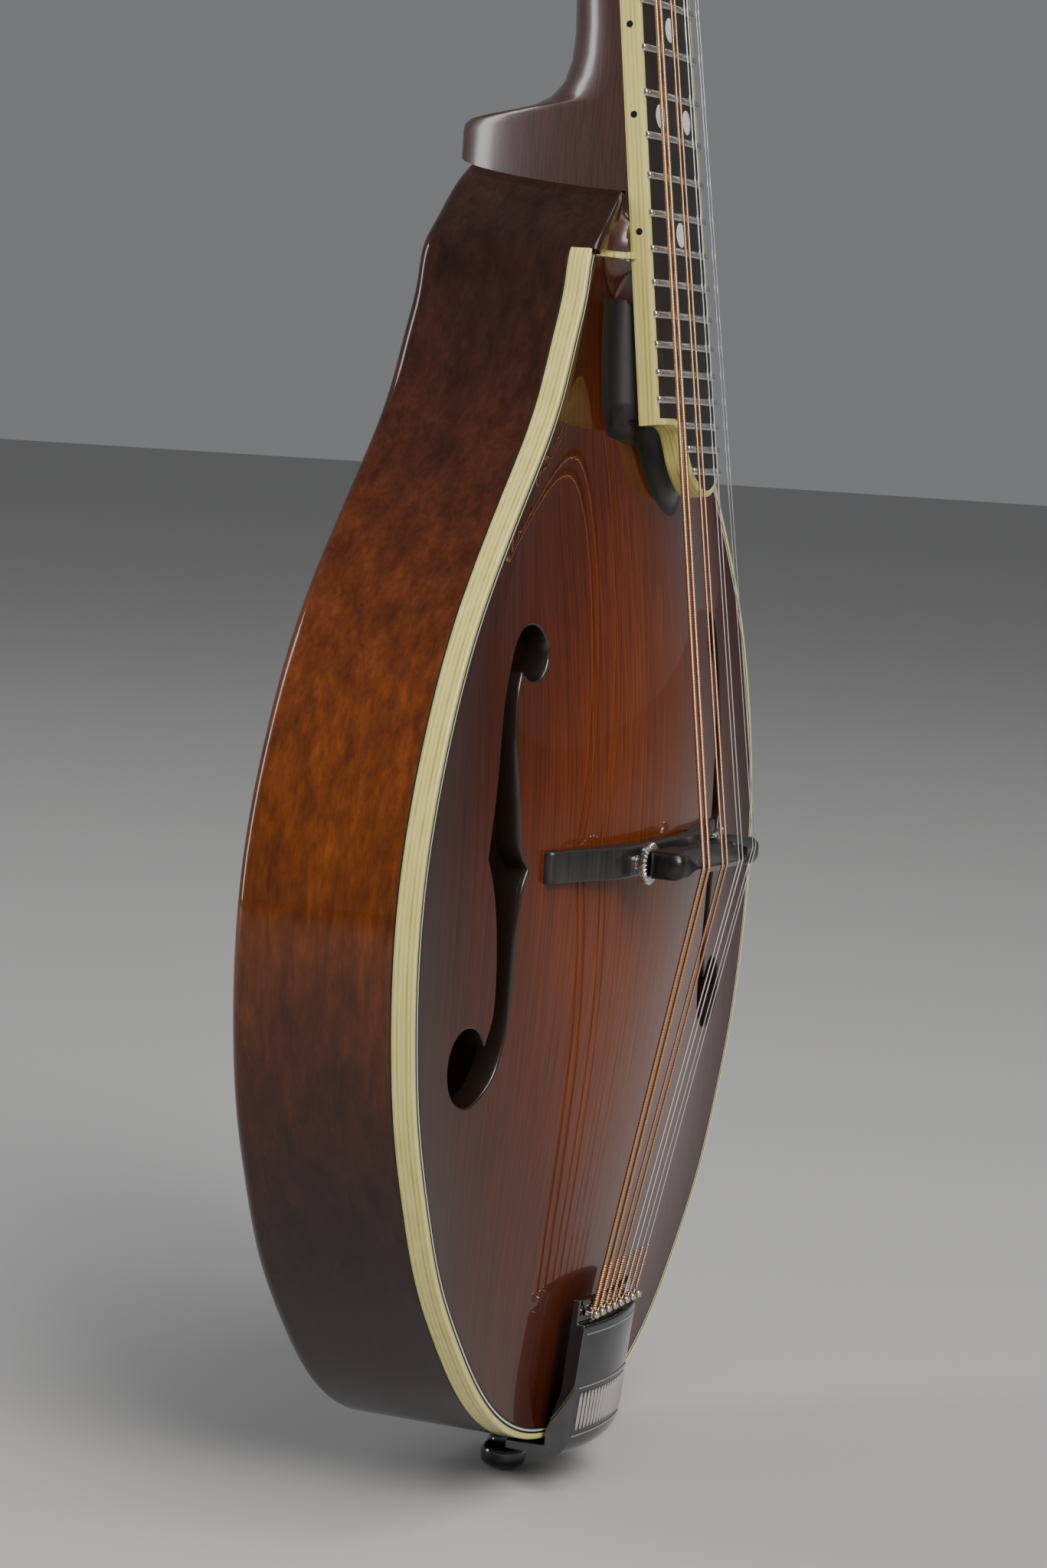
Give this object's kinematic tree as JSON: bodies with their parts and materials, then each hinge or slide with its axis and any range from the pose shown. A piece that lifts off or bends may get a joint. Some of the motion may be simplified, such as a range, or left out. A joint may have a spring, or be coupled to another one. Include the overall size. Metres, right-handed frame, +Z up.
{
  "type": "mandolin",
  "caption": "Teardrop carved-top mandolin with f-holes, adjustable bridge, tailpiece and geared tuners.",
  "frame": {"origin": "centre of the strap button's cylindrical head, at the tail end", "axes": "+Z up along the body from tail to neck, -Y out of the front, +X toward the treble side"},
  "size_m": [0.2276, 0.1179, 0.6457],
  "materials": {
    "spruce_sunburst": "gloss lacquer",
    "maple_brown": "gloss lacquer",
    "neck_wood": "gloss lacquer",
    "bare_wood": "bare",
    "ebony": "satin",
    "ivoroid": "gloss",
    "purfling": "gloss",
    "pearl": "gloss",
    "black_plastic": "gloss",
    "bone": "polished",
    "nickel": "polished",
    "dark_nickel": "mirror polish",
    "steel": "satin",
    "brass": "satin",
    "bronze": "satin",
    "tuner_buttons": "gloss"
  },
  "bodies": {
    "body": {"soundboard": "spruce_sunburst", "back_plate": "maple_brown", "rim": "maple_brown", "head_block": "bare_wood", "tail_block": "bare_wood", "top_lining": "bare_wood", "back_lining": "bare_wood", "tone_bars": "bare_wood", "top_binding": "ivoroid", "purfling": "purfling", "neck": "neck_wood", "fingerboard_support": "ebony", "fingerboard": "ebony", "fingerboard_binding": "ivoroid", "frets": "nickel", "position_dots": "pearl", "side_dots": "black_plastic", "nut": "bone", "headstock_veneer": "ebony", "truss_rod": "steel", "truss_rod_nut": "brass", "truss_rod_cover": "black_plastic", "truss_rod_cover_screws": "nickel", "tuner_plates": "nickel", "tuner_plate_screws": "nickel", "post_bushings": "nickel", "bridge_base": "ebony", "bridge_studs": "nickel", "tailpiece": "dark_nickel", "tailpiece_screws": "nickel", "end_button": "black_plastic", "wound_strings": "bronze", "plain_strings": "steel"},
    "tuner_knob_1": {"tuner_knob_1": "tuner_buttons"},
    "string_post_1": {"string_post_1": "nickel", "string_wrap_1": "bronze"},
    "tuner_knob_2": {"tuner_knob_2": "tuner_buttons"},
    "string_post_2": {"string_post_2": "nickel", "string_wrap_2": "bronze"},
    "tuner_knob_3": {"tuner_knob_3": "tuner_buttons"},
    "string_post_3": {"string_post_3": "nickel", "string_wrap_3": "bronze"},
    "tuner_knob_4": {"tuner_knob_4": "tuner_buttons"},
    "string_post_4": {"string_post_4": "nickel", "string_wrap_4": "bronze"},
    "tuner_knob_5": {"tuner_knob_5": "tuner_buttons"},
    "string_post_5": {"string_post_5": "nickel", "string_wrap_5": "steel"},
    "tuner_knob_6": {"tuner_knob_6": "tuner_buttons"},
    "string_post_6": {"string_post_6": "nickel", "string_wrap_6": "steel"},
    "tuner_knob_7": {"tuner_knob_7": "tuner_buttons"},
    "string_post_7": {"string_post_7": "nickel", "string_wrap_7": "steel"},
    "tuner_knob_8": {"tuner_knob_8": "tuner_buttons"},
    "string_post_8": {"string_post_8": "nickel", "string_wrap_8": "steel"},
    "saddle": {"bridge_saddle": "ebony"},
    "thumbwheel_bass": {"thumbwheel_bass": "nickel"},
    "thumbwheel_treble": {"thumbwheel_treble": "nickel"}
  },
  "joints": [
    {"name": "tuner_1_turn", "type": "hinge", "parent": "body", "child": "tuner_knob_1", "pos_m": [-0.0195, 0.02965, 0.53818], "axis": [1, 0, 0], "continuous": true},
    {"name": "string_post_1_turn", "type": "hinge", "parent": "body", "child": "string_post_1", "pos_m": [-0.0195, 0.03227, 0.54484], "axis": [0, 0.9304, -0.3665], "continuous": true},
    {"name": "tuner_2_turn", "type": "hinge", "parent": "body", "child": "tuner_knob_2", "pos_m": [-0.0195, 0.03808, 0.55958], "axis": [1, 0, 0], "continuous": true},
    {"name": "string_post_2_turn", "type": "hinge", "parent": "body", "child": "string_post_2", "pos_m": [-0.0195, 0.0407, 0.56624], "axis": [0, 0.9304, -0.3665], "continuous": true},
    {"name": "tuner_3_turn", "type": "hinge", "parent": "body", "child": "tuner_knob_3", "pos_m": [-0.0195, 0.0465, 0.58098], "axis": [1, 0, 0], "continuous": true},
    {"name": "string_post_3_turn", "type": "hinge", "parent": "body", "child": "string_post_3", "pos_m": [-0.0195, 0.04913, 0.58764], "axis": [0, 0.9304, -0.3665], "continuous": true},
    {"name": "tuner_4_turn", "type": "hinge", "parent": "body", "child": "tuner_knob_4", "pos_m": [-0.0195, 0.05493, 0.60238], "axis": [1, 0, 0], "continuous": true},
    {"name": "string_post_4_turn", "type": "hinge", "parent": "body", "child": "string_post_4", "pos_m": [-0.0195, 0.05756, 0.60904], "axis": [0, 0.9304, -0.3665], "continuous": true},
    {"name": "tuner_5_turn", "type": "hinge", "parent": "body", "child": "tuner_knob_5", "pos_m": [0.0195, 0.06018, 0.61569], "axis": [-1, 0, 0], "continuous": true},
    {"name": "string_post_5_turn", "type": "hinge", "parent": "body", "child": "string_post_5", "pos_m": [0.0195, 0.05756, 0.60904], "axis": [0, 0.9304, -0.3665], "continuous": true},
    {"name": "tuner_6_turn", "type": "hinge", "parent": "body", "child": "tuner_knob_6", "pos_m": [0.0195, 0.05175, 0.59429], "axis": [-1, 0, 0], "continuous": true},
    {"name": "string_post_6_turn", "type": "hinge", "parent": "body", "child": "string_post_6", "pos_m": [0.0195, 0.04913, 0.58764], "axis": [0, 0.9304, -0.3665], "continuous": true},
    {"name": "tuner_7_turn", "type": "hinge", "parent": "body", "child": "tuner_knob_7", "pos_m": [0.0195, 0.04332, 0.57289], "axis": [-1, 0, 0], "continuous": true},
    {"name": "string_post_7_turn", "type": "hinge", "parent": "body", "child": "string_post_7", "pos_m": [0.0195, 0.0407, 0.56624], "axis": [0, 0.9304, -0.3665], "continuous": true},
    {"name": "tuner_8_turn", "type": "hinge", "parent": "body", "child": "tuner_knob_8", "pos_m": [0.0195, 0.03489, 0.55149], "axis": [-1, 0, 0], "continuous": true},
    {"name": "string_post_8_turn", "type": "hinge", "parent": "body", "child": "string_post_8", "pos_m": [0.0195, 0.03227, 0.54484], "axis": [0, 0.9304, -0.3665], "continuous": true},
    {"name": "saddle_height", "type": "slide", "parent": "body", "child": "saddle", "axis": [0, -1, 0], "range_m": [-0.0015, 0]},
    {"name": "thumbwheel_bass_turn", "type": "hinge", "parent": "saddle", "child": "thumbwheel_bass", "pos_m": [-0.025, -0.039, 0.1615], "axis": [0, -1, 0], "range_deg": [-772, 0]},
    {"name": "thumbwheel_treble_turn", "type": "hinge", "parent": "saddle", "child": "thumbwheel_treble", "pos_m": [0.025, -0.039, 0.1615], "axis": [0, -1, 0], "range_deg": [-772, 0]}
  ],
  "couplings": [
    {"joint": "string_post_1_turn", "follows": "tuner_1_turn", "ratio": 0.0625},
    {"joint": "string_post_2_turn", "follows": "tuner_2_turn", "ratio": 0.0625},
    {"joint": "string_post_3_turn", "follows": "tuner_3_turn", "ratio": 0.0625},
    {"joint": "string_post_4_turn", "follows": "tuner_4_turn", "ratio": 0.0625},
    {"joint": "string_post_5_turn", "follows": "tuner_5_turn", "ratio": 0.0625},
    {"joint": "string_post_6_turn", "follows": "tuner_6_turn", "ratio": 0.0625},
    {"joint": "string_post_7_turn", "follows": "tuner_7_turn", "ratio": 0.0625},
    {"joint": "string_post_8_turn", "follows": "tuner_8_turn", "ratio": 0.0625},
    {"joint": "thumbwheel_bass_turn", "follows": "saddle_height", "rad_per_m": 8976},
    {"joint": "thumbwheel_treble_turn", "follows": "saddle_height", "rad_per_m": 8976}
  ]
}
